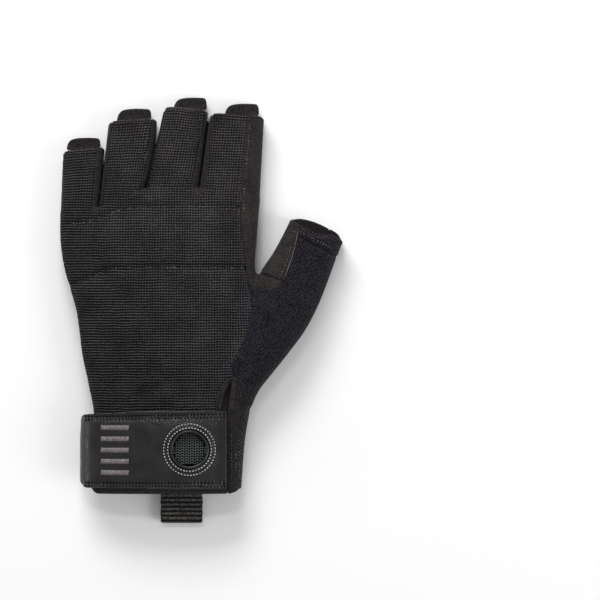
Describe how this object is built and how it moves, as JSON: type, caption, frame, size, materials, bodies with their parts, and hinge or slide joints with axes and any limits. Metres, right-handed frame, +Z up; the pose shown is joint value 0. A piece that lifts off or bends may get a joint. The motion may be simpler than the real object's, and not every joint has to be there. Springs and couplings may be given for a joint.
{
  "type": "climbing glove",
  "caption": "Half-finger climbing glove for the left hand, hollow, with a leather palm, a woven back, a wrist strap with an eyelet and a pull loop.",
  "frame": {"origin": "on the surface that the glove lies on, under the middle of the palm", "axes": "+Y towards the fingertips, +X towards the thumb, +Z up out of the back of the hand"},
  "size_m": [0.1407, 0.2133, 0.0225],
  "materials": {
    "woven_nylon": "plain weave with a raised grid, matt",
    "synthetic_suede": "microfibre leather, matt",
    "towelling": "fine terry loops",
    "stretch_twill": "elastic with a diagonal twill",
    "smooth_leather": "smooth, semi-matt",
    "loop_cloth": "short loop pile",
    "webbing": "cross-ribbed webbing",
    "knit_mesh": "open knit"
  },
  "bodies": {
    "root": {"back_panel": "woven_nylon", "palm_panel": "synthetic_suede", "palm_patch": "synthetic_suede", "index_side_strip": "synthetic_suede", "side_wall_pinky_ring": "synthetic_suede", "side_wall_ring_middle": "synthetic_suede", "side_wall_middle_index": "synthetic_suede", "thumb_towelling": "towelling", "thumb_hem": "towelling", "pull_tab_pinky": "synthetic_suede", "pull_tab_ring": "synthetic_suede", "pull_tab_middle": "synthetic_suede", "pull_tab_index": "synthetic_suede", "cuff_elastic": "stretch_twill", "cuff_base": "loop_cloth", "vent_gusset": "synthetic_suede", "vent_binding_left": "synthetic_suede", "vent_binding_right": "synthetic_suede", "closure_strap": "smooth_leather", "eyelet_rim": "smooth_leather", "eyelet_mesh": "knit_mesh", "pull_loop": "webbing", "tape_loop_pinky": "webbing", "tape_loop_thumb": "webbing"}
  },
  "joints": []
}
